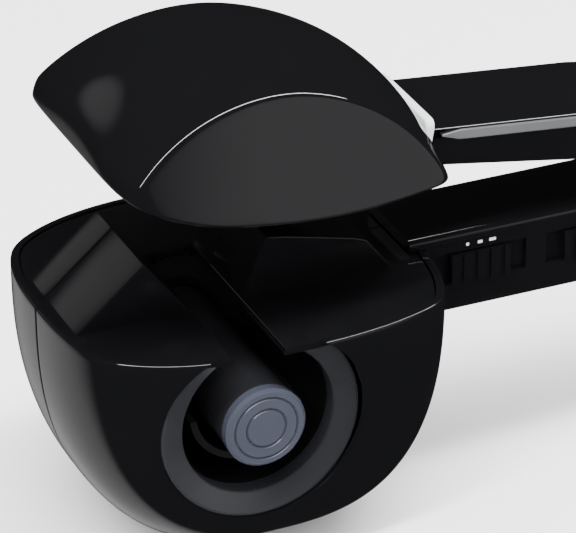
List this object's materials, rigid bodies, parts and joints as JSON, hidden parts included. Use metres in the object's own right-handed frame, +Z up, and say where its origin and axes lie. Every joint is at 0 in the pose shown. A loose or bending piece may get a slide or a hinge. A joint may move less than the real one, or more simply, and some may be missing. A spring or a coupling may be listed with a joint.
{
  "type": "automatic hair curler",
  "caption": "Automatic hair curler: two long hinged arms with a round curling head, V guide, heated barrel in a C-shaped chamber and a geared winding rotor.",
  "frame": {"origin": "centre of the small flat under the bowl, beneath the curl barrel's axis", "axes": "+X from the curling head to the tail hinge, Y along the curl barrel with its free end at -Y, +Z up from the resting flat"},
  "size_m": [0.2878, 0.102, 0.1503],
  "materials": {
    "black_gloss": "piano black, polished",
    "inner_black": "fine matte, heat resistant",
    "cap_grey": "satin grey with turned rings",
    "trim_grey": "satin grey lacquer",
    "barrel_coat": "ceramic coated, satin",
    "ceramic": "unglazed",
    "steel": "bright",
    "brass_gear": "machined",
    "gear_plastic": "natural acetal",
    "board": "green solder mask",
    "lens": "translucent red",
    "lead": "pvc insulation",
    "swivel_rubber": "matte moulded"
  },
  "bodies": {
    "lower_body": {"bowl_shell_near": "black_gloss", "bowl_shell_far": "black_gloss", "guide_front_near": "black_gloss", "guide_rear_near": "black_gloss", "guide_cover_far": "black_gloss", "chamber_bezel": "black_gloss", "chamber_liner": "inner_black", "curl_barrel": "barrel_coat", "barrel_end_cap": "cap_grey", "heater_core": "ceramic", "temperature_sensor": "steel", "barrel_insulator": "inner_black", "gear_plate": "inner_black", "idler_pin": "steel", "motor": "steel", "motor_bracket": "steel", "lower_arm_shell": "black_gloss", "lower_arm_cover": "black_gloss", "switch_bodies": "inner_black", "circuit_board": "board", "indicator_lens": "lens", "buzzer": "inner_black", "mains_leads": "lead", "hinge_pin": "steel", "hinge_washers": "gear_plastic", "hinge_spring": "steel", "interlock_switch": "inner_black", "arm_screws": "steel"},
    "upper_jaw": {"dome_shell": "black_gloss", "dome_inner_cover": "black_gloss", "interlock_striker": "inner_black", "upper_arm_shell": "black_gloss", "upper_arm_cover": "black_gloss", "arm_trim_strips": "trim_grey"},
    "rotor": {"winding_rotor": "gear_plastic"},
    "idler": {"idler_gear": "gear_plastic"},
    "pinion": {"motor_pinion": "brass_gear"},
    "direction_switch": {"direction_knob": "black_gloss"},
    "timer_switch": {"timer_knob": "black_gloss"},
    "heat_switch": {"heat_knob": "black_gloss"},
    "interlock": {"interlock_plunger": "gear_plastic"},
    "swivel": {"cord_swivel": "swivel_rubber"}
  },
  "joints": [
    {"name": "jaw_hinge", "type": "hinge", "parent": "lower_body", "child": "upper_jaw", "pos_m": [0.205, 0, 0.078], "axis": [0, -1, 0], "range_deg": [0, 9.6], "stiffness_Nm_per_rad": 3, "springref_deg": -28.65},
    {"name": "rotor_spin", "type": "hinge", "parent": "lower_body", "child": "rotor", "pos_m": [0, 0.02, 0.05], "axis": [0, 1, 0], "continuous": true},
    {"name": "idler_spin", "type": "hinge", "parent": "lower_body", "child": "idler", "pos_m": [0.02913, 0.02, 0.0394], "axis": [0, 1, 0], "continuous": true},
    {"name": "pinion_spin", "type": "hinge", "parent": "lower_body", "child": "pinion", "pos_m": [0.02653, 0.02, 0.02463], "axis": [0, 1, 0], "continuous": true},
    {"name": "direction_slide", "type": "slide", "parent": "lower_body", "child": "direction_switch", "axis": [1, 0, 0], "range_m": [-0.004, 0.004]},
    {"name": "timer_slide", "type": "slide", "parent": "lower_body", "child": "timer_switch", "axis": [1, 0, 0], "range_m": [-0.004, 0.004]},
    {"name": "heat_slide", "type": "slide", "parent": "lower_body", "child": "heat_switch", "axis": [1, 0, 0], "range_m": [-0.004, 0.004]},
    {"name": "plunger_slide", "type": "slide", "parent": "lower_body", "child": "interlock", "axis": [0, 0, -1], "range_m": [0, 0.00201]},
    {"name": "swivel_spin", "type": "hinge", "parent": "lower_body", "child": "swivel", "pos_m": [0.22, 0, 0.062], "axis": [1, 0, 0], "continuous": true}
  ],
  "couplings": [
    {"joint": "idler_spin", "follows": "rotor_spin", "ratio": -2.4444},
    {"joint": "pinion_spin", "follows": "rotor_spin", "ratio": 3.6667},
    {"joint": "plunger_slide", "follows": "jaw_hinge", "m_per_rad": 0.0119}
  ]
}
